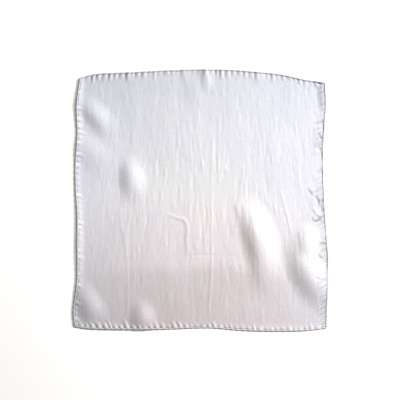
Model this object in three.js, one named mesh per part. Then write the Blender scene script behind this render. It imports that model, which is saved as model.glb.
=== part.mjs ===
// A plain white silk square, as used for conjuring, juggling and dancing with.
// One thin cut of plain-weave silk with a narrow rolled hem on all four sides, laid out flat, face up.
// It lies on the plane z = 0, with its top edge towards +Y, and a few soft buckles stand up out of it.
// Sizes are in millimetres, and heights are measured up from the plane that it lies on.

import * as THREE from "three";

// Driving sizes
const SHEET = 1.0; // thickness of the solid sheet
const ROLL = 2.4; // height of the rolled hem
const ROLL_FOOT = 1.3; // height of the roll's inner foot, just above the sheet
const ROLL_WIDTH = 3.2; // from the cloth's edge to the inner foot of the roll
const ROLL_CROWN = 1.4; // from the cloth's edge to the top of the roll
const ROLL_UNDERCUT = 0.6; // how far the foot of the roll is tucked in below its edge
const HEM_REACH = 14; // how far in from the edge the cloth still slopes down from a raised hem
const HEM_CURVE = 1.5; // how the slope flattens out towards the sheet: 1 is a straight slope
const CELLS = 44; // squares of the inner mesh along each side

// The puckers: the small gathers that the hem's stitches pull in the cloth
const PUCKERS_PER_SIDE = 44;
const PUCKER_REACH = 11.5; // from the edge to the inner end of a pucker
const PUCKER_HEIGHT = { left: 1.0, top: 1.7, right: 1.3, bottom: 1.6 };
const PUCKER_MEAN = 0.75; // the share of that height that a middling pucker has
const PUCKER_SPREAD = 0.4; // how far the others stray from that share, up or down
const PUCKER_TURN = 1.7; // radians from one point of the hem to the next, so that neighbours differ
const PUCKER_DRIFT = 0.43; // radians a point again, so that taller and lower runs follow each other
const SIDE_TURN = 2.3; // radians from one side to the next, so that no two sides are alike

// The outline, one table for each side. "along" is the place along the side, "out" the distance of the edge
// from the middle of the cloth, and "lift" how high the foot of the hem stands off the plane.
const TOP = [
  { along: -212, out: 214.5, lift: 1.2 },
  { along: -188, out: 221, lift: 0.4 },
  { along: -125, out: 224.5, lift: 0.3 },
  { along: -28, out: 229, lift: 0.4 },
  { along: 51, out: 229, lift: 0.4 },
  { along: 97, out: 225.5, lift: 0 },
  { along: 143, out: 220.5, lift: 0 },
  { along: 181, out: 212, lift: 0.3 },
  { along: 219, out: 206, lift: 1.8 },
];
const RIGHT = [
  { along: -226, out: 222, lift: 0.8 },
  { along: -198, out: 222.5, lift: 0.2 },
  { along: -124, out: 224.5, lift: 0.8 },
  { along: -82, out: 223.5, lift: 0.3 },
  { along: -33, out: 220, lift: 0.2 },
  { along: 17, out: 217.5, lift: 0.3 },
  { along: 75, out: 215.5, lift: 0.3 },
  { along: 122, out: 218, lift: 0.5 },
  { along: 168, out: 221, lift: 0.8 },
  { along: 206, out: 219, lift: 1.8 },
];
const BOTTOM = [
  { along: -218, out: 223.5, lift: 1.2 },
  { along: -199, out: 227, lift: 1.0 },
  { along: -143, out: 229, lift: 1.4 },
  { along: -72, out: 229, lift: 0.4 },
  { along: 19, out: 226.5, lift: 0 },
  { along: 69, out: 230.5, lift: 0.3 },
  { along: 112, out: 231.5, lift: 1.3 },
  { along: 181, out: 231, lift: 0.9 },
  { along: 222, out: 226.5, lift: 0.8 },
];
const LEFT = [
  { along: -223.5, out: 222.5, lift: 1.6 },
  { along: -198, out: 225, lift: 1.6 },
  { along: -142, out: 218.5, lift: 2.4 },
  { along: -80, out: 218, lift: 3.6 },
  { along: -25, out: 218, lift: 3.0 },
  { along: 17, out: 221, lift: 1.7 },
  { along: 61, out: 221.5, lift: 1.6 },
  { along: 112, out: 218, lift: 1.9 },
  { along: 165, out: 219, lift: 3.7 },
  { along: 213, out: 213, lift: 3.0 },
];

// The folds that stand up out of the flat cloth, one row for each. The crest runs from x1, y1 to x2, y2 and
// strays sideways by "bow". It is tallest at the share "peak" of its length. "left" and "right" say how wide
// its two flanks are there, seen along it, and "tail" is the share of that which is left where it starts.
const fold = (name, x1, y1, x2, y2, bow, height, peak, left, right, tail) =>
  ({ name, x1, y1, x2, y2, bow, height, peak, left, right, tail });
const FOLDS = [
  //   name                     x1    y1    x2    y2  bow  height  peak  left  right  tail
  fold("large buckle",            69,   14,  113, -186,  12,    9.8, 0.42,   42,    33,  0.8),
  fold("side buckle",            163,  -40,  254, -202, -22,    9.4,  0.5,   43,    40,  0.7),
  fold("swell above it",         186,  -38,  188, -108,   0,    5.2,  0.5,   28,    26,  0.8),
  fold("small buckle",          -129,   86, -119,  -12,   0,    5.6,  0.5,   32,    25,  0.7),
  fold("upper left ripple",     -221,  186, -152,  108,   0,    4.2,  0.5,   28,    23,  0.7),
  fold("lower left ripple",     -232,  116, -152,   48,   0,    3.2,  0.4,   32,    36,  0.7),
  fold("left corner ripple",    -219, -134, -177, -230,   0,    4.6,  0.6,   30,    28,  0.6),
  fold("bottom left ripple",    -108, -168, -100, -240,   0,    5.4,  0.6,   30,    30,  0.6),
  fold("top left ripple",       -128,  236, -124,  196,   0,    1.2,  0.2,    9,     9,  0.9),
  fold("top ripple",             -30,  240,  -28,  198,   0,    1.1, 0.25,    9,     9,  0.9),
  fold("second top ripple",        7,  240,   11,  184,   0,      3, 0.25,   14,    15,  0.9),
  fold("third top ripple",       100,  236,  101,  198,   0,    1.6,  0.2,   10,    10,  0.9),
  fold("right ripple",           232,   26,  186,  -18,   0,    1.4, 0.35,   14,    14,  0.8),
  fold("upper right ripple",     232,  116,  196,   96,   0,    1.4, 0.35,   12,    12,  0.8),
];

const { clamp, lerp } = THREE.MathUtils;

// A side's table as a smooth curve of (along, out, lift).
const curveOf = (table) =>
  new THREE.CatmullRomCurve3(table.map((row) => new THREE.Vector3(row.along, row.out, row.lift)));
const SIDES = { top: curveOf(TOP), right: curveOf(RIGHT), bottom: curveOf(BOTTOM), left: curveOf(LEFT) };

// Places on the cloth are given by shares u and v of its width and height, from its bottom left corner.
// The four sides are blended across the cloth, so that every thread line follows the outline.
function placeOf(u, v) {
  const top = SIDES.top.getPointAt(u);
  const bottom = SIDES.bottom.getPointAt(u);
  const left = SIDES.left.getPointAt(v);
  const right = SIDES.right.getPointAt(v);
  const corner = (side, end) => SIDES[side].getPointAt(end).x;
  const cornersX = lerp(
    lerp(corner("bottom", 0), corner("bottom", 1), u),
    lerp(corner("top", 0), corner("top", 1), u),
    v,
  );
  const cornersY = lerp(
    lerp(corner("left", 0), corner("left", 1), v),
    lerp(corner("right", 0), corner("right", 1), v),
    u,
  );
  return {
    x: lerp(bottom.x, top.x, v) + lerp(-left.y, right.y, u) - cornersX,
    y: lerp(-bottom.y, top.y, v) + lerp(left.x, right.x, u) - cornersY,
    lift: { top: top.z, bottom: bottom.z, left: left.z, right: right.z },
  };
}

// The cloth's width and height as it lies, which turn shares into distances from its sides.
const WIDTH = SIDES.left.getPointAt(0.5).y + SIDES.right.getPointAt(0.5).y;
const HEIGHT = SIDES.bottom.getPointAt(0.5).y + SIDES.top.getPointAt(0.5).y;

// How high one fold lifts the cloth at x, y: a round ridge that fades out along its crest and its flanks.
function foldHeight(fold, x, y) {
  const run = Math.hypot(fold.x2 - fold.x1, fold.y2 - fold.y1);
  const ahead = { x: (fold.x2 - fold.x1) / run, y: (fold.y2 - fold.y1) / run };
  const share = ((x - fold.x1) * ahead.x + (y - fold.y1) * ahead.y) / run;
  if (share <= 0 || share >= 1) return 0;
  const bend = fold.bow * 4 * share * (1 - share);
  const toTheLeft = ahead.x * (y - fold.y1) - ahead.y * (x - fold.x1) - bend;
  const grown = share < fold.peak ? share / fold.peak : (1 - share) / (1 - fold.peak);
  const narrowed = share < fold.peak ? lerp(fold.tail, 1, grown) : 1;
  const flank = (toTheLeft > 0 ? fold.left : fold.right) * narrowed;
  if (Math.abs(toTheLeft) >= flank) return 0;
  const along = Math.sin((Math.PI / 2) * grown) ** 2;
  const across = Math.cos((Math.PI / 2) * (toTheLeft / flank)) ** 2;
  return fold.height * along * across;
}

// The height of the cloth's underside at a place: the folds, and the slope up to each side's hem.
function undersideAt(u, v) {
  const { x, y, lift } = placeOf(u, v);
  const gaps = { left: u * WIDTH, right: (1 - u) * WIDTH, bottom: v * HEIGHT, top: (1 - v) * HEIGHT };
  const hemSlope = (side) => lift[side] * (1 - clamp(gaps[side] / HEM_REACH, 0, 1)) ** HEM_CURVE;
  const slopes = Object.keys(gaps).map(hemSlope);
  return Math.max(...slopes) + FOLDS.reduce((sum, fold) => sum + foldHeight(fold, x, y), 0);
}

// Points evenly spaced round the cloth at a distance in from its edge, clockwise from above, as u and v.
function loopAt(inset, perSide) {
  const [du, dv] = [inset / WIDTH, inset / HEIGHT];
  const points = [];
  for (let side = 0; side < 4; side++) {
    for (let step = 0; step < perSide; step++) {
      const share = step / perSide;
      const [a, b] = [[0, share], [share, 1], [1, 1 - share], [1 - share, 0]][side];
      points.push({ u: lerp(du, 1 - du, a), v: lerp(dv, 1 - dv, b), side, step });
    }
  }
  return points;
}

// Vertices and faces of the sheet as they are added.
const positions = [];
const faces = [];
function addPoint(u, v, z) {
  const { x, y } = placeOf(u, v);
  positions.push(x, y, z);
  return positions.length / 3 - 1;
}
const addFace = (a, b, c, turned) => (turned ? faces.push(a, c, b) : faces.push(a, b, c));

// Joins two closed loops of points with triangles. They may have different numbers of points.
function joinLoops(outer, inner, turned) {
  let [i, k] = [0, 0];
  while (i < outer.length || k < inner.length) {
    const outerNext = (i + 1) / outer.length;
    const innerNext = (k + 1) / inner.length;
    const [a, b] = [outer[i % outer.length], inner[k % inner.length]];
    if (outerNext < innerNext || (outerNext === innerNext && i < outer.length)) {
      addFace(a, b, outer[(i + 1) % outer.length], turned);
      i++;
    } else {
      addFace(a, b, inner[(k + 1) % inner.length], turned);
      k++;
    }
  }
}

// One face of the sheet inside the hem, as a grid of squares. It returns the grid's own border as a loop.
function addField(zAt, turned) {
  const [du, dv] = [PUCKER_REACH / WIDTH, PUCKER_REACH / HEIGHT];
  const grid = [];
  for (let row = 0; row <= CELLS; row++) {
    grid.push([]);
    for (let column = 0; column <= CELLS; column++) {
      const [u, v] = [lerp(du, 1 - du, column / CELLS), lerp(dv, 1 - dv, row / CELLS)];
      grid[row].push(addPoint(u, v, zAt(u, v)));
    }
  }
  for (let row = 0; row < CELLS; row++) {
    for (let column = 0; column < CELLS; column++) {
      const [a, b] = [grid[row][column], grid[row][column + 1]];
      const [c, d] = [grid[row + 1][column + 1], grid[row + 1][column]];
      addFace(a, b, c, turned);
      addFace(a, c, d, turned);
    }
  }
  const last = CELLS;
  const border = [];
  for (let step = 0; step < CELLS; step++) border.push(grid[step][0]);
  for (let step = 0; step < CELLS; step++) border.push(grid[last][step]);
  for (let step = 0; step < CELLS; step++) border.push(grid[last - step][last]);
  for (let step = 0; step < CELLS; step++) border.push(grid[0][last - step]);
  return border;
}

// The height of the pucker at a point of a loop. The stitches hold the cloth down in the troughs between
// puckers, so every second point stands up, and none does at a corner.
const SIDE_ORDER = ["left", "top", "right", "bottom"];
function puckerHeight(point) {
  if (point.step % 2 === 0) return 0;
  const turn = point.step * PUCKER_TURN + point.side * SIDE_TURN;
  const share = PUCKER_MEAN + PUCKER_SPREAD * Math.sin(turn) * Math.sin(point.step * PUCKER_DRIFT);
  return PUCKER_HEIGHT[SIDE_ORDER[point.side]] * share;
}

// The silk square: the upper face with its puckered hem, the lower face, and the hem's outer wall.
function silkSquareGeometry() {
  const hemLoop = (inset, above) =>
    loopAt(inset, 2 * PUCKERS_PER_SIDE).map((p) =>
      addPoint(p.u, p.v, undersideAt(p.u, p.v) + above + puckerHeight(p)),
    );
  const upperBorder = addField((u, v) => undersideAt(u, v) + SHEET, false);
  const foot = hemLoop(ROLL_WIDTH, ROLL_FOOT);
  const crown = hemLoop(ROLL_CROWN, ROLL);
  const edge = loopAt(0, 2 * PUCKERS_PER_SIDE).map((p) =>
    addPoint(p.u, p.v, undersideAt(p.u, p.v) + ROLL / 2),
  );
  joinLoops(edge, crown, false);
  joinLoops(crown, foot, false);
  joinLoops(foot, upperBorder, false);

  const lowerBorder = addField(undersideAt, true);
  const lowerEdge = loopAt(ROLL_UNDERCUT, CELLS).map((p) => addPoint(p.u, p.v, undersideAt(p.u, p.v)));
  joinLoops(lowerEdge, lowerBorder, true);
  joinLoops(edge, lowerEdge, true);

  const geometry = new THREE.BufferGeometry();
  geometry.setAttribute("position", new THREE.Float32BufferAttribute(positions, 3));
  geometry.setIndex(faces);
  geometry.computeBoundingBox();
  const middle = geometry.boundingBox.getCenter(new THREE.Vector3());
  geometry.translate(-middle.x, -middle.y, 0);
  geometry.computeVertexNormals();
  return geometry;
}

const silk = new THREE.MeshStandardMaterial({
  color: 0xe6e5e9,
  roughness: 0.5,
  metalness: 0,
  side: THREE.DoubleSide,
});
const square = new THREE.Mesh(silkSquareGeometry(), silk);
square.name = "silk_square";

const scarf = new THREE.Group();
scarf.add(square);

export default scarf;
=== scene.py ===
"""A plain white silk square with a narrow rolled hem, laid out flat and seen from straight above.

The cloth is one thin sheet on the solid's outline and folds, with the puckers of its hand-rolled hem, the
small tucks beside it, its pressed creases and the fine crinkles of its weave. The stitches of the hem are a
piece of their own. The tables hold millimetres, as the solid's source does, and everything else is in metres.
"""

import math
import random

import bpy
import numpy as np
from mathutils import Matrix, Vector


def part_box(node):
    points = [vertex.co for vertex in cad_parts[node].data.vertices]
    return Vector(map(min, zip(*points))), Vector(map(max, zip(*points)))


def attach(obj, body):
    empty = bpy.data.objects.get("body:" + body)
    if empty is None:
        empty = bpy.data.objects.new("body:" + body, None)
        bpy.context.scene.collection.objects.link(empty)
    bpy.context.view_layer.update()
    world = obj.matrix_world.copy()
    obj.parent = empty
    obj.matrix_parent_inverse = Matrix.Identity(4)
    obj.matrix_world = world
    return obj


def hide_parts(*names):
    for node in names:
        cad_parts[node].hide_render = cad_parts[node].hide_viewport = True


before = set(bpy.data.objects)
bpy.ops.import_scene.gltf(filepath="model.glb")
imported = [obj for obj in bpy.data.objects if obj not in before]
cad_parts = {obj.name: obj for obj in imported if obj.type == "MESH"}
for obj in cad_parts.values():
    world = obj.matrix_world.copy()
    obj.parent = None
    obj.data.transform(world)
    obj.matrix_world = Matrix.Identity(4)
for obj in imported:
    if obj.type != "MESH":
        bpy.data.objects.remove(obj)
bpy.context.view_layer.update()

MM = 0.001
NODE = "silk_square"

# The hem and the puckers, in millimetres
HEM_REACH = 14  # how far in from the edge the cloth still slopes down from a raised hem
HEM_CURVE = 1.5  # the power of that slope, which is steepest at the edge
ROLL_MIDDLE = 1.5  # from the edge to the middle of the roll
ROLL_HALF_WIDTH = 1.4
ROLL_TURN = (205, -120)  # where the roll's surface starts at its inner foot and ends under it, in degrees
ROLL_STEPS = 11
ROLL_SQUEEZED = 0.78  # the share of its size that the roll keeps where a stitch pulls it in
ROLL_PUFF = 0.4  # how much higher the top of the roll lies halfway between two stitches than at one
ROLL_PUFF_LEVEL = 0.45  # the share of a pucker's arch at which that leaves the roll as it is
ROLL_BLEND = 6  # points to either side over which the roll's height is averaged, for its corners
SHADE_FROM = 100  # the roll's outer side gets painted shade from this angle on, over so many degrees
SHADE_OVER = 70
SHADE_AT_STITCH = 1.2  # the share of its side's painted shade that the roll has at a stitch
SHADE_BETWEEN = 0.9  # and halfway between two
PUCKERS_PER_SIDE = 44
PUCKER_SEED = 11
CORNER_FREE = 10  # the puckers fade out this far from a corner
STITCH_JITTER = 0.22  # how far a stitch strays from its even place, as a share of the space between two
PUCKER_ARCH = 0.8  # the power of a pucker's arch, fuller than a plain wave
PUCKER_FADE = 1.2  # the power with which it fades out on its way in from the edge
REACH_SHARES = (0.6, 0.75, 0.9, 1.05, 1.3)  # short and long puckers, as shares of the side's reach
STRONG_SPREAD = 0.05  # how far a strong place spreads along its side, as a share of the side
STRONG_HEIGHT = 0.7  # how much taller the puckers are in the middle of a strong place
STRONG_REACH = 0.35  # how much further they reach in there
SHEET_MIDDLE = 0.5  # height of the thin cloth inside the 1 mm solid that it stands for
LOWEST = 0.12  # the cloth never dips closer to the floor than this
CELLS = 280  # squares of the cloth's mesh along each side

# Each side's hem and puckers. "roll" is half the height of the rolled hem, and "shade" is the painted shade
# on its outer side, how much darker than the cloth it is painted. "height" is how tall a middling pucker is,
# "dip" is the share of it by which the stitches hold the cloth down, and "reach" is how far a pucker reaches
# in from the edge. It strays along the side by "lean" for each millimetre of that way, "uneven" is how much
# the heights differ, and "strong" lists the places where the puckers are stronger, as shares of the side from
# the left or from below.
PUCKERS = {
    "left": {
        "roll": 1.15, "shade": 0.5, "height": 1.7, "dip": 0.45,
        "reach": 11, "lean": 0.4, "uneven": 0.8, "strong": (0.66, 0.75),
    },
    "top": {
        "roll": 1.15, "shade": 0.15, "height": 2.7, "dip": 0.4,
        "reach": 14, "lean": 0.0, "uneven": 0.6, "strong": (0.08, 0.17, 0.55),
    },
    "right": {
        "roll": 0.75, "shade": 0.0, "height": 2.2, "dip": 0.45,
        "reach": 15, "lean": 0.6, "uneven": 0.9, "strong": (0.56, 0.85),
    },
    "bottom": {
        "roll": 1.15, "shade": 0.35, "height": 3.0, "dip": 0.45,
        "reach": 12, "lean": 0.32, "uneven": 0.5, "strong": (0.12, 0.2),
    },
}
SIDE_ORDER = ("left", "top", "right", "bottom")

SIDE_STEPS = 100  # points of a side's smooth curve between each two of its table

# The outline, one table for each side: the place along the side, the distance of the edge from the middle of
# the cloth, and how high the foot of the hem stands off the floor
TOP = (
    (-212, 214.5, 1.2),
    (-188, 221, 0.4),
    (-125, 224.5, 0.3),
    (-28, 229, 0.4),
    (51, 229, 0.4),
    (97, 225.5, 0),
    (143, 220.5, 0),
    (181, 212, 0.3),
    (219, 206, 1.8),
)
RIGHT = (
    (-226, 222, 0.8),
    (-198, 222.5, 0.2),
    (-124, 224.5, 0.8),
    (-82, 223.5, 0.3),
    (-33, 220, 0.2),
    (17, 217.5, 0.3),
    (75, 215.5, 0.3),
    (122, 218, 0.5),
    (168, 221, 0.8),
    (206, 219, 1.8),
)
BOTTOM = (
    (-218, 223.5, 1.2),
    (-199, 227, 1.0),
    (-143, 229, 1.4),
    (-72, 229, 0.4),
    (19, 226.5, 0),
    (69, 230.5, 0.3),
    (112, 231.5, 1.3),
    (181, 231, 0.9),
    (222, 226.5, 0.8),
)
LEFT = (
    (-223.5, 222.5, 1.6),
    (-198, 225, 1.6),
    (-142, 218.5, 2.4),
    (-80, 218, 3.6),
    (-25, 218, 3.0),
    (17, 221, 1.7),
    (61, 221.5, 1.6),
    (112, 218, 1.9),
    (165, 219, 3.7),
    (213, 213, 3.0),
)

NARROWEST = 0.01  # the least share of its width that a fold's flank is given, out beyond the crest's ends

# The folds that stand up out of the flat cloth. The crest runs from x1, y1 to x2, y2 and strays sideways by
# "bow". It is tallest at the share "peak" of its length, "left" and "right" are the widths of its flanks
# there, and "tail" is the share of that width that is left where it starts.
FOLDS = (
    # x1, y1, x2, y2, bow, height, peak, left, right, tail
    (69, 14, 113, -186, 12, 9.8, 0.42, 42, 33, 0.8),  # large buckle
    (163, -40, 254, -202, -22, 9.4, 0.5, 43, 40, 0.7),  # side buckle
    (186, -38, 188, -108, 0, 5.2, 0.5, 28, 26, 0.8),  # swell above it
    (-129, 86, -119, -12, 0, 5.6, 0.5, 32, 25, 0.7),  # small buckle
    (-221, 186, -152, 108, 0, 4.2, 0.5, 28, 23, 0.7),  # upper left ripple
    (-232, 116, -152, 48, 0, 3.2, 0.4, 32, 36, 0.7),  # lower left ripple
    (-219, -134, -177, -230, 0, 4.6, 0.6, 30, 28, 0.6),  # left corner ripple
    (-108, -168, -100, -240, 0, 5.4, 0.6, 30, 30, 0.6),  # bottom left ripple
    (-128, 236, -124, 196, 0, 1.2, 0.2, 9, 9, 0.9),  # top left ripple
    (-30, 240, -28, 198, 0, 1.1, 0.25, 9, 9, 0.9),  # top ripple
    (7, 240, 11, 184, 0, 3.0, 0.25, 14, 15, 0.9),  # second top ripple
    (100, 236, 101, 198, 0, 1.6, 0.2, 10, 10, 0.9),  # third top ripple
    (232, 26, 186, -18, 0, 1.4, 0.35, 14, 14, 0.8),  # right ripple
    (232, 116, 196, 96, 0, 1.4, 0.35, 12, 12, 0.8),  # upper right ripple
)

LINE_STEPS = 8  # points of the smooth line of a crease or a tuck between each two of its table
LINE_FADE = 18  # how far from its ends it is weaker
LINE_FADE_CURVE = 0.7  # the power of that fade

# The creases that folding and pressing left in the cloth: the height of the ridge (a trough where it is
# negative), half its width, and the points that it runs through
CREASES = (
    (0.35, 1.8, ((20, 112), (18, 62), (19, 10), (20, -14))),
    (0.6, 1.8, ((17, 2), (19, -36), (17, -62), (19, -92), (18, -124), (13, -212))),
    (0.8, 1.6, ((1, 78), (2, 52))),
    (0.8, 1.6, ((30, 82), (31, 46))),
    (0.5, 1.6, ((-18, 92), (-17, 58))),
    (0.5, 1.6, ((-64, 66), (-62, 30))),
    (0.5, 1.6, ((75, 66), (74, 24))),
    (0.2, 1.8, ((-151, 73), (-146, -1), (-135, -71), (-130, -106), (-130, -222))),
    (0.45, 2.0, ((-113, -71), (-109, -110))),
    (0.85, 3.0, ((-60, -25), (-44, -32), (-31, -35), (-24, -47), (-25, -71), (-23, -98))),
    (-0.5, 1.5, ((-24, -98.5), (20, -98), (62, -99))),
    (0.45, 1.9, ((139, 20), (150, -22), (160, -64))),
    (0.5, 2.0, ((127, -1), (132, -26))),
    (-0.6, 1.6, ((26, 144), (25.5, 100), (26, 62))),
    (1.3, 2.2, ((196, -12), (206, -29))),
    (1.0, 2.2, ((195, 78), (207, 88))),
    (-0.9, 2.0, ((198, -138), (219, -141))),
)

TUCK_DEPTH = 2.0  # of a tuck that would be all dark: its depth for a painted shade of 1

# The small tight tucks along the right edge, and a soft one in the lower left hem: the painted shade down
# inside, how much darker it is painted there, half the width, and the points that each runs through
TUCKS = (
    (0.5, 2.8, ((192, 210), (206, 206), (218, 200))),
    (0.3, 4.0, ((199, 203), (205, 194), (208, 175), (211, 152))),
    (0.6, 1.7, ((186, 20), (193, 12), (197, 4))),
    (0.6, 1.7, ((199, 8), (206, -2), (208, -16))),
    (0.55, 1.5, ((214, 4), (212, -12), (214, -26))),
    (0.6, 1.7, ((193, -31), (200, -38), (209, -36), (216, -42))),
    (0.55, 1.5, ((203, -26), (208, -32), (215, -29))),
    (0.6, 1.7, ((211, 140), (216, 126), (215, 112))),
    (0.5, 1.6, ((205, 118), (211, 108), (217, 104))),
    (0.6, 1.7, ((206, 94), (213, 82), (216, 62))),
    (0.5, 1.6, ((211, 58), (214, 48), (213, 36))),
    (0.5, 1.6, ((205, -80), (213, -77), (220, -80))),
    (0.7, 1.9, ((222, -84), (224, -102), (223, -124))),
    (0.55, 1.8, ((206, -94), (210, -102), (216, -106))),
    (0.3, 1.5, ((200, -137), (210, -142), (219, -139))),
    (0.18, 5.0, ((-217, -146), (-218, -190), (-215, -216))),
)

# The fine upright crinkles that the weave keeps, and the soft waves below them: how many there are, how far
# from the middle of the cloth they lie, and the ranges of their half lengths, half widths and heights
CRINKLES = {"count": 900, "x": 212, "y": 215, "length": (4, 18), "width": (1.5, 2.6), "height": (0.15, 0.45)}
WAVES = {"count": 90, "x": 215, "y": 220, "length": (16, 55), "width": (9, 26), "height": (-0.5, 0.5)}
CRINKLE_SEED = 7
CRINKLE_CORE = (20, 150, 170)  # the x of the most crinkled place, and how far it spreads sideways and upright
CRINKLE_SHARES = (0.45, 1.2)  # of their height, far away from that place and in it
CRINKLE_LEAN = 0.05  # how much they lean at random
CRINKLE_FAN = 0.0004  # how much they lean inwards at the top for each millimetre from the middle line


# Curves and places

def centripetal_curve(points, steps):
    """Points of a smooth curve through the given ones, with a number of steps between each two."""
    before = 2 * points[0] - points[1]
    after = 2 * points[-1] - points[-2]
    knots = np.vstack([before, points, after])
    share = np.linspace(0, 1, steps, endpoint=False)[:, None]
    stretches = []
    for p0, p1, p2, p3 in zip(knots, knots[1:], knots[2:], knots[3:]):
        s0, s1, s2 = (np.linalg.norm(b - a) ** 0.5 for a, b in ((p0, p1), (p1, p2), (p2, p3)))
        leave = s1 * ((p1 - p0) / s0 - (p2 - p0) / (s0 + s1) + (p2 - p1) / s1)
        arrive = s1 * ((p2 - p1) / s1 - (p3 - p1) / (s1 + s2) + (p3 - p2) / s2)
        squared = 3 * (p2 - p1) - 2 * leave - arrive
        cubed = leave + arrive - 2 * (p2 - p1)
        stretches.append(p1 + share * leave + share**2 * squared + share**3 * cubed)
    return np.vstack(stretches + [points[-1]])


def side_curve(table):
    """A side's table as a function from a share of its length to (along, out, lift)."""
    points = centripetal_curve(np.array(table, float), SIDE_STEPS)
    run = np.concatenate([[0], np.cumsum(np.linalg.norm(np.diff(points, axis=0), axis=1))])
    shares = run / run[-1]
    return lambda share: [np.interp(share, shares, points[:, column]) for column in range(3)]


SIDES = {
    "top": side_curve(TOP),
    "right": side_curve(RIGHT),
    "bottom": side_curve(BOTTOM),
    "left": side_curve(LEFT),
}


def lerp(a, b, share):
    """What lies at a share of the way from a to b."""
    return a + (b - a) * share


def place_of(u, v):
    """Where shares u and v of the width and height lie: x, y, and how high each side's hem stands there."""
    top, bottom = SIDES["top"](u), SIDES["bottom"](u)
    left, right = SIDES["left"](v), SIDES["right"](v)

    def corner(side, end):
        return SIDES[side](end)[0]

    def along(side, share):
        return lerp(corner(side, 0), corner(side, 1), share)

    corners_x = lerp(along("bottom", u), along("top", u), v)
    corners_y = lerp(along("left", v), along("right", v), u)
    x = lerp(bottom[0], top[0], v) + lerp(-left[1], right[1], u) - corners_x
    y = lerp(-bottom[1], top[1], v) + lerp(left[0], right[0], u) - corners_y
    return x, y, {"top": top[2], "bottom": bottom[2], "left": left[2], "right": right[2]}


WIDTH = SIDES["left"](0.5)[1] + SIDES["right"](0.5)[1]
HEIGHT = SIDES["bottom"](0.5)[1] + SIDES["top"](0.5)[1]


# Heights of the cloth, all in millimetres

def hem_slope(u, v, lift):
    """The slope from the flat cloth up to the hems."""
    gaps = {"left": u * WIDTH, "right": (1 - u) * WIDTH, "bottom": v * HEIGHT, "top": (1 - v) * HEIGHT}
    slopes = [lift[side] * (1 - np.clip(gaps[side] / HEM_REACH, 0, 1)) ** HEM_CURVE for side in gaps]
    return np.max(slopes, axis=0)


def fold_height(fold, x, y):
    """How high one fold lifts the cloth: a round ridge that fades out along its crest and down its flanks."""
    x1, y1, x2, y2, bow, height, peak, left, right, tail = fold
    run = math.hypot(x2 - x1, y2 - y1)
    ahead = ((x2 - x1) / run, (y2 - y1) / run)
    share = ((x - x1) * ahead[0] + (y - y1) * ahead[1]) / run
    bend = bow * 4 * share * (1 - share)
    to_the_left = ahead[0] * (y - y1) - ahead[1] * (x - x1) - bend
    grown = np.where(share < peak, share / peak, (1 - share) / (1 - peak))
    narrowed = np.where(share < peak, lerp(tail, 1, grown), 1)
    flank = np.where(to_the_left > 0, left, right) * np.maximum(narrowed, NARROWEST)
    along = np.sin(math.pi / 2 * np.clip(grown, 0, 1)) ** 2
    across = np.cos(math.pi / 2 * np.clip(to_the_left / flank, -1, 1)) ** 2
    return height * along * across


def base_height(u, v, x, y, lift):
    """How high the raised hems and the folds lift the cloth."""
    return hem_slope(u, v, lift) + sum(fold_height(fold, x, y) for fold in FOLDS)


def line_strength(points, half_width, x, y):
    """How near each place is to a smooth line: 1 on it, 0 a little beyond its half width and at its ends."""
    line = np.array(points, float)
    if len(line) > 2:
        line = centripetal_curve(line, LINE_STEPS)
    nearest = np.full(x.shape, np.inf)
    along = np.zeros(x.shape)
    walked = 0.0
    for (ax, ay), (bx, by) in zip(line, line[1:]):
        length = math.hypot(bx - ax, by - ay)
        share = np.clip(((x - ax) * (bx - ax) + (y - ay) * (by - ay)) / length**2, 0, 1)
        gap = np.hypot(x - lerp(ax, bx, share), y - lerp(ay, by, share))
        closer = gap < nearest
        nearest = np.where(closer, gap, nearest)
        along = np.where(closer, walked + share * length, along)
        walked += length
    ends = np.minimum(along, walked - along) / min(LINE_FADE, walked / 2)
    fade = np.clip(ends, 0, 1) ** LINE_FADE_CURVE
    return np.exp(-((nearest / half_width) ** 2)) * fade


def pressed_creases(x, y):
    """The narrow soft ridges and troughs of the pressed creases."""
    return sum(height * line_strength(points, half_width, x, y) for height, half_width, points in CREASES)


def tuck_shade(x, y):
    """Painted shade: how much darker each place is painted for lying inside a tuck."""
    shades = [dark * line_strength(points, half_width, x, y) for dark, half_width, points in TUCKS]
    return np.max(shades, axis=0)


def random_place(dice, kind):
    """A place for a crinkle or a wave."""
    return dice.uniform(-kind["x"], kind["x"]), dice.uniform(-kind["y"], kind["y"])


def fine_crinkle(dice, x, y):
    """One narrow upright crinkle, up or down, which leans a little."""
    cx, cy = random_place(dice, CRINKLES)
    half_length = dice.uniform(*CRINKLES["length"])
    half_width = dice.uniform(*CRINKLES["width"])
    core_x, core_width, core_height = CRINKLE_CORE
    central = math.exp(-(((cx - core_x) / core_width) ** 2) - ((cy / core_height) ** 2))
    height = dice.choice((-1, 1)) * dice.uniform(*CRINKLES["height"]) * lerp(*CRINKLE_SHARES, central)
    lean = dice.gauss(0, CRINKLE_LEAN) - CRINKLE_FAN * cx
    dx, dy = x - cx, y - cy
    return height * np.exp(-(((dx - lean * dy) / half_width) ** 2) - (dy / half_length) ** 2)


def soft_wave(dice, x, y):
    """One broad low rise or hollow."""
    cx, cy = random_place(dice, WAVES)
    wide, tall = dice.uniform(*WAVES["width"]), dice.uniform(*WAVES["length"])
    height = dice.uniform(*WAVES["height"])
    return height * np.exp(-(((x - cx) / wide) ** 2) - ((y - cy) / tall) ** 2)


def crinkles(x, y):
    """The fine crinkles and the soft waves below them."""
    dice = random.Random(CRINKLE_SEED)
    z = np.zeros(x.shape)
    for _ in range(CRINKLES["count"]):
        z += fine_crinkle(dice, x, y)
    for _ in range(WAVES["count"]):
        z += soft_wave(dice, x, y)
    return z


def strong_share(place, middles):
    """How much a place along a side is in one of the strong places: 1 in its middle, 0 far from it."""
    return max(math.exp(-(((place - middle) / STRONG_SPREAD) ** 2)) for middle in middles)


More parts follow.
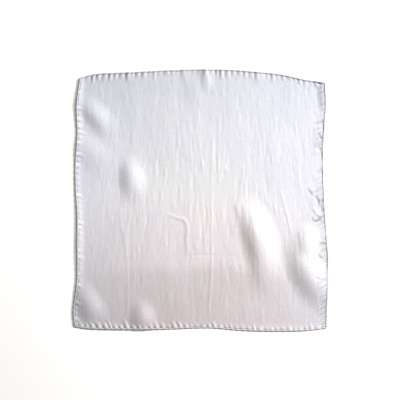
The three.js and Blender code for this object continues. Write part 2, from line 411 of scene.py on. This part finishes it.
def pucker_rows():
    """For each side the jittered places of its stitches, and the height and reach of each pucker."""
    dice = random.Random(PUCKER_SEED)
    rows = {}
    for name in SIDE_ORDER:
        side = PUCKERS[name]
        jittered = [k + dice.uniform(-STITCH_JITTER, STITCH_JITTER) for k in range(PUCKERS_PER_SIDE + 1)]
        places = [place / PUCKERS_PER_SIDE for place in jittered]
        places[0], places[-1] = 0.0, 1.0
        strength = [strong_share(place, side["strong"]) for place in places]
        heights = [
            side["height"] * (1 + side["uneven"] * dice.uniform(-1, 1) + STRONG_HEIGHT * more)
            for more in strength
        ]
        reaches = [side["reach"] * dice.choice(REACH_SHARES) * (1 + STRONG_REACH * more) for more in strength]
        rows[name] = (np.array(places), np.array(heights), np.array(reaches))
    return rows


PUCKER_ROWS = pucker_rows()


def pucker_wave(name, along):
    """How far a place along a side is into its pucker (0 at the stitches, 1 halfway), and its number."""
    places = PUCKER_ROWS[name][0]
    number = np.clip(np.searchsorted(places, along, side="right") - 1, 0, len(places) - 2)
    share = (along - places[number]) / (places[number + 1] - places[number])
    return np.abs(np.sin(math.pi * np.clip(share, 0, 1))) ** PUCKER_ARCH, number


def puckers(u, v):
    """The gathers along all four hems."""
    z = np.zeros(u.shape)
    spans = {"left": (v, u * WIDTH, HEIGHT), "right": (v, (1 - u) * WIDTH, HEIGHT)}
    spans.update({"bottom": (u, v * HEIGHT, WIDTH), "top": (u, (1 - v) * HEIGHT, WIDTH)})
    for name, (along, gap, length) in spans.items():
        lean = PUCKERS[name]["lean"]
        wave, number = pucker_wave(name, along + lean * gap / length)
        heights, reaches = PUCKER_ROWS[name][1][number], PUCKER_ROWS[name][2][number]
        from_corner = np.minimum(along, 1 - along) * length
        fade = (1 - np.clip(gap / reaches, 0, 1) ** PUCKER_FADE) * np.clip(from_corner / CORNER_FREE, 0, 1)
        z += (wave - PUCKERS[name]["dip"]) * heights * fade
    return z


def cloth_height(u, v):
    """Place and height of the thin cloth."""
    x, y, lift = place_of(u, v)
    base = base_height(u, v, x, y, lift)
    relief = puckers(u, v) + crinkles(x, y) + pressed_creases(x, y) - TUCK_DEPTH * tuck_shade(x, y)
    return x, y, np.maximum(base + relief + SHEET_MIDDLE, LOWEST)


# The cloth's mesh

def border_loop(inset):
    """Shares u and v of the points round the cloth that lie a distance in from its edge."""
    du, dv = inset / WIDTH, inset / HEIGHT
    steps = np.arange(CELLS) / CELLS
    one, zero = np.ones(CELLS), np.zeros(CELLS)
    u = np.concatenate([zero, steps, one, 1 - steps])
    v = np.concatenate([steps, one, 1 - steps, zero])
    return du + (1 - 2 * du) * u, dv + (1 - 2 * dv) * v


def stitch_pinch():
    """For each point of the border loop, how free of a stitch it is: 0 at a stitch and 1 between two."""
    steps = np.arange(CELLS) / CELLS
    shares = {"left": steps, "top": steps, "right": 1 - steps, "bottom": 1 - steps}
    return np.concatenate([pucker_wave(name, shares[name])[0] for name in SIDE_ORDER])


def roll_half_heights():
    """Half the height of the roll at each point of the border loop, with a soft change at the corners."""
    heights = np.repeat([PUCKERS[name]["roll"] for name in SIDE_ORDER], CELLS)
    return np.mean([np.roll(heights, step) for step in range(-ROLL_BLEND, ROLL_BLEND + 1)], axis=0)


def hem_rows():
    """The rolled hem as loops of points, from its inner foot over the top and round to its underside."""
    free = stitch_pinch()
    half_heights = roll_half_heights()
    rows = []
    for step in range(1, ROLL_STEPS + 1):
        angle = math.radians(lerp(*ROLL_TURN, step / ROLL_STEPS))
        swell = lerp(ROLL_SQUEEZED, 1.0, free)
        inset = ROLL_MIDDLE - ROLL_HALF_WIDTH * math.cos(angle) * swell
        u, v = border_loop(inset)
        x, y, lift = place_of(u, v)
        base = base_height(u, v, x, y, lift)
        puffed = ROLL_PUFF * (free - ROLL_PUFF_LEVEL) * (1 + math.sin(angle)) / 2
        z = base + LOWEST + half_heights * (1 + math.sin(angle)) * swell + puffed
        rows.append((x, y, np.maximum(z, LOWEST)))
    return rows


def fold_shade():
    """How much painted shade darkens each point: in the tucks, and on the outer side of the rolled hem."""
    free = stitch_pinch()
    side_shades = np.repeat([PUCKERS[name]["shade"] for name in SIDE_ORDER], CELLS)
    x, y, _ = grid_points()
    rows = [tuck_shade(x, y).ravel()]
    for step, (x, y, _) in enumerate(hem_rows(), start=1):
        angle = lerp(*ROLL_TURN, step / ROLL_STEPS)
        outer = np.clip((SHADE_FROM - angle) / SHADE_OVER, 0, 1)
        roll_shade = side_shades * outer * lerp(SHADE_AT_STITCH, SHADE_BETWEEN, free)
        rows.append(np.maximum(roll_shade, tuck_shade(x, y)))
    return np.concatenate(rows)


def grid_points():
    """The flat part of the cloth as a square grid of points, inside the hem."""
    inset = ROLL_MIDDLE + ROLL_HALF_WIDTH
    across = lerp(inset / WIDTH, 1 - inset / WIDTH, np.arange(CELLS + 1) / CELLS)
    up = lerp(inset / HEIGHT, 1 - inset / HEIGHT, np.arange(CELLS + 1) / CELLS)
    u, v = np.meshgrid(across, up)
    return cloth_height(u, v)


def cloth_faces():
    """Quads of the grid, and then of the hem's loops, which start from the grid's border."""
    wide = CELLS + 1
    number = np.arange(wide * wide).reshape(wide, wide)
    corners = [number[:-1, :-1], number[:-1, 1:], number[1:, 1:], number[1:, :-1]]
    faces = np.stack(corners, axis=-1).reshape(-1, 4)
    border = np.concatenate([number[:-1, 0], number[-1, :-1], number[:0:-1, -1], number[0, :0:-1]])
    loops = [border] + [wide * wide + row * 4 * CELLS + np.arange(4 * CELLS) for row in range(ROLL_STEPS)]
    strips = [
        np.stack([inner, outer, np.roll(outer, -1), np.roll(inner, -1)], axis=-1)
        for inner, outer in zip(loops, loops[1:])
    ]
    return np.vstack([faces] + strips).tolist()


def mesh_piece(name, points, faces, material):
    """An object with a smooth mesh of these points, in metres."""
    mesh = bpy.data.meshes.new(name)
    mesh.from_pydata(points.tolist(), [], faces)
    mesh.materials.append(material)
    mesh.validate()
    mesh.shade_smooth()
    piece = bpy.data.objects.new(name, mesh)
    bpy.context.scene.collection.objects.link(piece)
    return piece


def cloth_points():
    """All the cloth's points in the tables' millimetres."""
    rows = [grid_points()] + hem_rows()
    return np.vstack([np.stack([x.ravel(), y.ravel(), z.ravel()], axis=-1) for x, y, z in rows])


def middle_shift(points):
    """What moves the middle of the cloth's outline to the middle of its solid."""
    low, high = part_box(NODE)
    solid = np.array([(low.x + high.x) / 2, (low.y + high.y) / 2, 0]) / MM
    return solid - np.append((points[:, :2].min(0) + points[:, :2].max(0)) / 2, 0)


# The stitches

THREAD_RADIUS = 0.22
THREAD_SIDES = 6
THREAD_STEPS = 7
THREAD_TIP = 0.18  # how far round its half wave of thickness, in radians, the thread starts and ends
THREAD_TAPER = 0.4  # the power of that half wave, which keeps the thread full for most of its length
STITCH_SLANT = 1.7  # how far a stitch runs along the hem while it crosses the roll
STITCH_TURN = (200, -15)  # where it starts at the roll's inner foot and ends on its outer side, in degrees
STITCH_BITE = 0.8  # the share of the roll's size at which the tight thread lies
THREAD_STANDS = 0.5  # the share of its radius by which its middle stands out from there


def stitch_points(name, place, lean):
    """The line of one stitch, from the roll's inner foot over its top to its outer side."""
    length = HEIGHT if name in ("left", "right") else WIDTH
    stands = THREAD_RADIUS * THREAD_STANDS
    line = []
    for step in range(THREAD_STEPS):
        share = step / (THREAD_STEPS - 1)
        angle = math.radians(lerp(*STITCH_TURN, share))
        inset = ROLL_MIDDLE - (ROLL_HALF_WIDTH * STITCH_BITE + stands) * math.cos(angle)
        along = place + lean * (share - 0.5) * STITCH_SLANT / length
        gap = inset / (WIDTH if name in ("left", "right") else HEIGHT)
        shares = {
            "left": (gap, along),
            "right": (1 - gap, along),
            "bottom": (along, gap),
            "top": (along, 1 - gap),
        }
        u, v = (np.array([value]) for value in shares[name])
        x, y, lift = place_of(u, v)
        base = base_height(u, v, x, y, lift)
        rise = (PUCKERS[name]["roll"] * STITCH_BITE + stands) * (1 + math.sin(angle))
        line.append((x[0], y[0], base[0] + LOWEST + rise))
    return np.array(line)


def tube(line, radius):
    """Points and faces of a thin closed tube along a line."""
    ahead = np.gradient(line, axis=0)
    ahead /= np.linalg.norm(ahead, axis=1, keepdims=True)
    side = np.cross(ahead, np.cross(ahead[len(ahead) // 2], [0, 0, 1.0]))
    side /= np.linalg.norm(side, axis=1, keepdims=True)
    other = np.cross(ahead, side)
    turns = np.arange(THREAD_SIDES) * 2 * math.pi / THREAD_SIDES
    thickness = radius * np.sin(np.linspace(THREAD_TIP, math.pi - THREAD_TIP, len(line))) ** THREAD_TAPER
    ring = np.cos(turns)[None, :, None] * side[:, None] + np.sin(turns)[None, :, None] * other[:, None]
    points = (line[:, None] + thickness[:, None, None] * ring).reshape(-1, 3)
    faces = []
    for row in range(len(line) - 1):
        for k in range(THREAD_SIDES):
            a, b = row * THREAD_SIDES + k, row * THREAD_SIDES + (k + 1) % THREAD_SIDES
            faces.append((a, b, b + THREAD_SIDES, a + THREAD_SIDES))
    last = (len(line) - 1) * THREAD_SIDES
    faces.append(tuple(range(THREAD_SIDES))[::-1])
    faces.append(tuple(range(last, last + THREAD_SIDES)))
    return points, faces


def stitches_piece(shift, material):
    """All the hem's stitches in one joined mesh: one at each trough between two puckers."""
    points, faces, count = [], [], 0
    for name in SIDE_ORDER:
        for place in PUCKER_ROWS[name][0][1:-1]:
            lean = -1 if name in ("top", "bottom") else 1
            ring, quads = tube(stitch_points(name, place, lean), THREAD_RADIUS)
            points.append(ring)
            faces.extend([tuple(corner + count for corner in quad) for quad in quads])
            count += len(ring)
    return mesh_piece("hem_stitches", (np.vstack(points) + shift) * MM, faces, material)


# Materials

THREADS_PER_METRE = 3000
SLUB_STRETCHES = ((420, 55, 1), (55, 400, 1))  # of the upright slubs, and of the level ones
LEVEL_SLUBS = 0.45  # their height beside the upright ones
SLUB_DETAIL = 3.0
SLUB_ROUGHNESS = 0.6


def add_node(tree, kind, place, **settings):
    """A node of that kind, with its properties set."""
    node = tree.nodes.new(kind)
    node.location = place
    for name, value in settings.items():
        setattr(node, name, value)
    return node


def new_group(name, inputs, outputs):
    """An empty node group with named sockets: inputs are (name, kind, default), outputs (name, kind)."""
    group = bpy.data.node_groups.new(name, "ShaderNodeTree")
    for label, kind, default in inputs:
        group.interface.new_socket(label, in_out="INPUT", socket_type=kind).default_value = default
    for label, kind in outputs:
        group.interface.new_socket(label, in_out="OUTPUT", socket_type=kind)
    start = add_node(group, "NodeGroupInput", (-900, 0))
    end = add_node(group, "NodeGroupOutput", (700, 0))
    return group, start, end


def maths(tree, operation, first, second, place):
    """The result of a Math node on two sockets or numbers."""
    node = add_node(tree, "ShaderNodeMath", place, operation=operation)
    for slot, value in enumerate((first, second)):
        if hasattr(value, "is_linked"):
            tree.links.new(value, node.inputs[slot])
        else:
            node.inputs[slot].default_value = value
    return node.outputs[0]


def weave_group():
    """Plain weave: threads over and under each other. Height is 0 to 1, Thread is 0 between the threads."""
    group, start, end = new_group(
        "Plain weave",
        [
            ("Vector", "NodeSocketVector", (0, 0, 0)),
            ("Threads per metre", "NodeSocketFloat", THREADS_PER_METRE),
        ],
        [("Height", "NodeSocketFloat"), ("Thread", "NodeSocketFloat")],
    )
    split = add_node(group, "ShaderNodeSeparateXYZ", (-700, 0))
    group.links.new(start.outputs["Vector"], split.inputs[0])
    threads = start.outputs["Threads per metre"]
    waves = []
    for axis in (0, 1):
        turns = maths(group, "MULTIPLY", split.outputs[axis], threads, (-500, -200 * axis))
        angle = maths(group, "MULTIPLY", turns, math.pi, (-350, -200 * axis))
        waves.append(maths(group, "SINE", angle, 0, (-200, -200 * axis)))
    crossing = maths(group, "MULTIPLY", waves[0], waves[1], (0, 0))
    half = maths(group, "MULTIPLY", crossing, 0.5, (150, 0))
    height = maths(group, "ADD", half, 0.5, (300, 0))
    thread = maths(group, "ABSOLUTE", crossing, 0, (300, -200))
    group.links.new(height, end.inputs["Height"])
    group.links.new(thread, end.inputs["Thread"])
    return group


def slub_group():
    """Slubs: fine uneven threads that run along Y, and fewer that run along X."""
    group, start, end = new_group(
        "Silk slubs",
        [("Vector", "NodeSocketVector", (0, 0, 0)), ("Scale", "NodeSocketFloat", 1.0)],
        [("Height", "NodeSocketFloat"), ("Tone", "NodeSocketFloat")],
    )
    heights = []
    for row, stretch in enumerate(SLUB_STRETCHES):
        mapping = add_node(group, "ShaderNodeVectorMath", (-650, -250 * row), operation="MULTIPLY")
        mapping.inputs[1].default_value = stretch
        group.links.new(start.outputs["Vector"], mapping.inputs[0])
        scaled = add_node(group, "ShaderNodeVectorMath", (-480, -250 * row), operation="SCALE")
        group.links.new(mapping.outputs[0], scaled.inputs[0])
        group.links.new(start.outputs["Scale"], scaled.inputs["Scale"])
        noise = add_node(group, "ShaderNodeTexNoise", (-300, -250 * row))
        noise.inputs["Scale"].default_value = 1.0
        noise.inputs["Detail"].default_value = SLUB_DETAIL
        noise.inputs["Roughness"].default_value = SLUB_ROUGHNESS
        group.links.new(scaled.outputs[0], noise.inputs["Vector"])
        heights.append(noise.outputs["Fac"])
    level = maths(group, "MULTIPLY", heights[1], LEVEL_SLUBS, (-100, -250))
    total = maths(group, "ADD", heights[0], level, (80, -100))
    group.links.new(total, end.inputs["Height"])
    group.links.new(heights[0], end.inputs["Tone"])
    return group


def place_group(group, tree, place, **values):
    """A group placed in a material, with its own values."""
    node = add_node(tree, "ShaderNodeGroup", place, node_tree=group)
    for name, value in values.items():
        node.inputs[name.replace("_", " ")].default_value = value
    return node


def add_bump(tree, shader, height, strength, depth, place):
    """A bump on the shader's normal from a height socket."""
    bump = add_node(tree, "ShaderNodeBump", place)
    bump.inputs["Strength"].default_value = strength
    bump.inputs["Distance"].default_value = depth
    tree.links.new(height, bump.inputs["Height"])
    tree.links.new(bump.outputs[0], shader.inputs["Normal"])


def new_material(name):
    """A material, its node tree and its Principled shader."""
    material = bpy.data.materials.new(name)
    material.use_nodes = True
    return material, material.node_tree, material.node_tree.nodes["Principled BSDF"]


def colour_ramp(tree, place, stops):
    """A colour ramp with these (position, colour) stops."""
    ramp = add_node(tree, "ShaderNodeValToRGB", place)
    first, last = ramp.color_ramp.elements
    first.position, first.color = stops[0][0], (*stops[0][1], 1)
    last.position, last.color = stops[-1][0], (*stops[-1][1], 1)
    for position, colour in stops[1:-1]:
        ramp.color_ramp.elements.new(position).color = (*colour, 1)
    return ramp


# The silk's tints from its top edge (0) down to its bottom edge (1), with painted shade: darker at both ends
COOL_TINTS_AND_SHADE = (
    (0.0, (0.54, 0.55, 0.605)),
    (0.25, (0.635, 0.635, 0.70)),
    (0.5, (0.685, 0.68, 0.73)),
    (0.68, (0.64, 0.625, 0.66)),
    (0.76, (0.62, 0.605, 0.645)),
    (1.0, (0.54, 0.525, 0.565)),
)
WARM_TINTS_AND_SHADE = (
    (0.0, (0.60, 0.61, 0.64)),
    (0.25, (0.68, 0.685, 0.69)),
    (0.42, (0.735, 0.73, 0.705)),
    (0.6, (0.755, 0.685, 0.70)),
    (0.72, (0.725, 0.655, 0.67)),
    (0.76, (0.605, 0.545, 0.555)),
    (0.95, (0.585, 0.525, 0.535)),
)
TINTS_AND_SHADE_DOWN = -2.1  # how fast the tints and painted shade run from top to bottom, for each metre up
TINTS_AND_SHADE_START = 0.41  # the place on the tables at the middle of the cloth, before the noise is added
TINT_AND_SHADE_NOISE = (0.14, 6.0, 1.0)  # how far the noise moves that place, and its scale and detail
WARM_PATCHES = (1.3, 17.0, 2.0)  # how far the patches bring out the warm tints, and their scale and detail
COOL_SIDES = -27.0  # how fast the warm tints give way to the cool ones, painted darker, at the sides, for each square metre


def noise_value(tree, vector, scale, detail, place):
    """The value of a noise texture."""
    noise = add_node(tree, "ShaderNodeTexNoise", place)
    noise.inputs["Scale"].default_value = scale
    noise.inputs["Detail"].default_value = detail
    tree.links.new(vector, noise.inputs["Vector"])
    return noise.outputs["Fac"]


def tints_and_painted_shade(tree, vector):
    """Faint tints and painted shade: cool, darker above and at the sides, warmer, greyer in the middle below.
    """
    noise = noise_value(tree, vector, TINT_AND_SHADE_NOISE[1], TINT_AND_SHADE_NOISE[2], (-900, 500))
    split = add_node(tree, "ShaderNodeSeparateXYZ", (-900, 300))
    tree.links.new(vector, split.inputs[0])
    lower = maths(tree, "MULTIPLY", split.outputs["Y"], TINTS_AND_SHADE_DOWN, (-700, 300))
    uneven = maths(tree, "MULTIPLY", noise, TINT_AND_SHADE_NOISE[0], (-700, 500))
    shifted = maths(tree, "ADD", uneven, TINTS_AND_SHADE_START, (-540, 500))
    down = maths(tree, "ADD", lower, shifted, (-380, 400))
    squared = maths(tree, "MULTIPLY", split.outputs["X"], split.outputs["X"], (-700, 150))
    outer = maths(tree, "MULTIPLY", squared, COOL_SIDES, (-540, 150))
    patches = noise_value(tree, vector, WARM_PATCHES[1], WARM_PATCHES[2], (-900, 0))
    warmer = maths(tree, "MULTIPLY", patches, WARM_PATCHES[0], (-700, 0))
    patchy = maths(tree, "ADD", warmer, lower, (-540, 0))
    middle = maths(tree, "ADD", outer, patchy, (-380, 150))
    cool = colour_ramp(tree, (-220, 450), COOL_TINTS_AND_SHADE)
    warm = colour_ramp(tree, (-220, 200), WARM_TINTS_AND_SHADE)
    tree.links.new(down, cool.inputs[0])
    tree.links.new(down, warm.inputs[0])
    both = add_node(tree, "ShaderNodeMix", (60, 350), data_type="RGBA")
    tree.links.new(middle, both.inputs["Factor"])
    tree.links.new(cool.outputs["Color"], both.inputs["A"])
    tree.links.new(warm.outputs["Color"], both.inputs["B"])
    # Painted light and shade: towards the bottom, brighter at the right and darker at the left
    below = maths(tree, "MAXIMUM", lower, 0.0, (-220, 0))
    to_the_right = maths(tree, "MULTIPLY", below, split.outputs["X"], (-60, 0))
    painted_falloff = maths(tree, "ADD", to_the_right, 1.0, (100, 0))
    tinted_and_shaded = add_node(tree, "ShaderNodeVectorMath", (240, 300), operation="SCALE")
    tree.links.new(both.outputs["Result"], tinted_and_shaded.inputs[0])
    tree.links.new(painted_falloff, tinted_and_shaded.inputs["Scale"])
    return tinted_and_shaded.outputs[0]


SLUB_TONES = (0.93, 1.04)  # how dark and how light the slubs make the cloth
SILK_ROUGHNESS = 0.5
THREAD_GLOSS = -0.08  # what the middle of a thread adds to it
WEAVE_RELIEF = 0.25  # the weave's height beside the slubs'
SILK_BUMP = 0.85
SILK_BUMP_DEPTH = 0.4 * MM


def silk_material(weave, slubs):
    """White plain-weave silk: soft sheen, faint tints, slubs and a fine weave."""
    material, tree, shader = new_material("white_silk")
    position = add_node(tree, "ShaderNodeTexCoord", (-1200, 0)).outputs["Object"]
    woven = place_group(weave, tree, (-700, -200), Threads_per_metre=THREADS_PER_METRE)
    slubbed = place_group(slubs, tree, (-700, -450), Scale=1.0)
    tree.links.new(position, woven.inputs["Vector"])
    tree.links.new(position, slubbed.inputs["Vector"])
    tint_and_shade = tints_and_painted_shade(tree, position)
    shade = add_node(tree, "ShaderNodeMapRange", (-450, -450))
    shade.inputs["To Min"].default_value, shade.inputs["To Max"].default_value = SLUB_TONES
    tree.links.new(slubbed.outputs["Tone"], shade.inputs["Value"])
    colour = add_node(tree, "ShaderNodeVectorMath", (50, 300), operation="SCALE")
    tree.links.new(tint_and_shade, colour.inputs[0])
    # Painted shade from the fold_shade attribute darkens the tucks and the outer side of the rolled hem
    painted_shade = add_node(tree, "ShaderNodeAttribute", (-450, -650), attribute_name="fold_shade").outputs["Fac"]
    kept = maths(tree, "SUBTRACT", 1.0, painted_shade, (-280, -650))
    shaded = maths(tree, "MULTIPLY", shade.outputs[0], kept, (-120, -600))
    tree.links.new(shaded, colour.inputs["Scale"])
    tree.links.new(colour.outputs[0], shader.inputs["Base Color"])
    glossy = maths(tree, "MULTIPLY", woven.outputs["Thread"], THREAD_GLOSS, (-300, -100))
    roughness = maths(tree, "ADD", glossy, SILK_ROUGHNESS, (-150, -100))
    tree.links.new(roughness, shader.inputs["Roughness"])
    fine = maths(tree, "MULTIPLY", woven.outputs["Height"], WEAVE_RELIEF, (-450, -200))
    relief = maths(tree, "ADD", fine, slubbed.outputs["Height"], (-300, -300))
    add_bump(tree, shader, relief, SILK_BUMP, SILK_BUMP_DEPTH, (-100, -300))
    shader.inputs["Specular IOR Level"].default_value = 0.45
    shader.inputs["Sheen Weight"].default_value = 0.15
    shader.inputs["Sheen Roughness"].default_value = 0.4
    return material


# The thread's shades, from the noise of its twist
THREAD_TINTS = (
    (0.25, (0.74, 0.74, 0.76)),
    (0.75, (0.88, 0.88, 0.89)),
)
TWIST_SCALE = 4.0  # how much finer its noise is than the cloth's slubs
THREAD_BUMP = 0.4
THREAD_BUMP_DEPTH = 0.1 * MM


def thread_material(slubs):
    """The white silk thread of the stitches, a little brighter than the cloth, with its twist."""
    material, tree, shader = new_material("white_thread")
    position = add_node(tree, "ShaderNodeTexCoord", (-1200, 0)).outputs["Object"]
    twist = place_group(slubs, tree, (-700, -200), Scale=TWIST_SCALE)
    tree.links.new(position, twist.inputs["Vector"])
    shade = colour_ramp(tree, (-400, 100), THREAD_TINTS)
    tree.links.new(twist.outputs["Tone"], shade.inputs[0])
    tree.links.new(shade.outputs["Color"], shader.inputs["Base Color"])
    add_bump(tree, shader, twist.outputs["Height"], THREAD_BUMP, THREAD_BUMP_DEPTH, (-300, -300))
    shader.inputs["Roughness"].default_value = 0.4
    return material


# The room

PIXEL = 1.76 * MM  # the photo's scale on the floor
PHOTO_SIDE = 400
PHOTO_MIDDLE = (201, 199.5)  # the pixel where the tables' origin lies
CAMERA_HEIGHT = 2.0
SENSOR = 36.0  # in millimetres, as the lens is
FLOOR_HALF = 8.0
FLOOR_SEEN = (0.96, 0.96, 0.96, 1)
FLOOR_BOUNCED = (0.45, 0.45, 0.45, 1)  # its colour for all light that doesn't go straight to the camera
FLOOR_GLOW = 0.1
ROOM_LIGHT = (1.0, 0.94, 0.86, 1)
ROOM_STRENGTH = 0.2

# The main light low on the right and a warmer fill above it: name, place, side, watts and colour
LIGHTS = (
    ("main_light", (1.7, 0.8, 1.4), 0.44, 59, (0.975, 0.975, 1.1)),
    ("top_fill", (1.2, 1.3, 1.9), 0.96, 39.5, (0.98, 0.985, 0.81)),
)


def add_floor():
    """A plain pale floor, so bright that it looks white."""
    material, tree, shader = new_material("floor_white")
    seen = add_node(tree, "ShaderNodeLightPath", (-400, 200)).outputs["Is Camera Ray"]
    shade = add_node(tree, "ShaderNodeMix", (-200, 200), data_type="RGBA")
    shade.inputs["A"].default_value = FLOOR_BOUNCED
    shade.inputs["B"].default_value = FLOOR_SEEN
    tree.links.new(seen, shade.inputs["Factor"])
    tree.links.new(shade.outputs["Result"], shader.inputs["Base Color"])
    shader.inputs["Roughness"].default_value = 0.9
    shader.inputs["Specular IOR Level"].default_value = 0.2
    shader.inputs["Emission Color"].default_value = (1, 1, 1, 1)
    shader.inputs["Emission Strength"].default_value = FLOOR_GLOW
    corners = np.array([(-1, -1, 0), (1, -1, 0), (1, 1, 0), (-1, 1, 0)]) * FLOOR_HALF
    floor = mesh_piece("floor", corners, [(0, 1, 2, 3)], material)
    return floor


def add_light(name, place, size, watts, colour):
    """A square soft light that faces the middle of the cloth."""
    data = bpy.data.lights.new(name, "AREA")
    data.size = size
    data.energy = watts
    data.color = colour
    light = bpy.data.objects.new(name, data)
    light.location = place
    bpy.context.scene.collection.objects.link(light)
    light.rotation_euler = (-Vector(place)).to_track_quat("-Z", "Y").to_euler()
    return light


def add_lights():
    """The main light, its fill, and the pale warm light of the room."""
    for row in LIGHTS:
        add_light(*row)
    world = bpy.data.worlds.new("pale_room")
    world.use_nodes = True
    background = world.node_tree.nodes["Background"]
    background.inputs["Color"].default_value = ROOM_LIGHT
    background.inputs["Strength"].default_value = ROOM_STRENGTH
    bpy.context.scene.world = world


def add_camera(shift):
    """The camera straight above, framed as the photo is, with the colours shown as they are."""
    data = bpy.data.cameras.new("camera")
    data.sensor_width = SENSOR
    data.lens = SENSOR * CAMERA_HEIGHT / (PHOTO_SIDE * PIXEL)
    camera = bpy.data.objects.new("camera", data)
    x = (PHOTO_SIDE / 2 - PHOTO_MIDDLE[0]) * PIXEL + shift[0] * MM
    y = (PHOTO_MIDDLE[1] - PHOTO_SIDE / 2) * PIXEL + shift[1] * MM
    camera.location = (x, y, CAMERA_HEIGHT)
    bpy.context.scene.collection.objects.link(camera)
    bpy.context.scene.camera = camera
    bpy.context.scene.view_settings.view_transform = "Standard"


def build():
    """The cloth and its stitches, each in its slot, with the floor, the lights and the camera."""
    weave, slubs = weave_group(), slub_group()
    points = cloth_points()
    shift = middle_shift(points)
    cloth = mesh_piece("silk_cloth", (points + shift) * MM, cloth_faces(), silk_material(weave, slubs))
    cloth.data.attributes.new("fold_shade", "FLOAT", "POINT").data.foreach_set("value", fold_shade())
    stitches = stitches_piece(shift, thread_material(slubs))
    floor = add_floor()
    for piece in (cloth, stitches):
        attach(piece, "root")
    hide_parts(NODE)
    add_lights()
    add_camera(shift)


build()
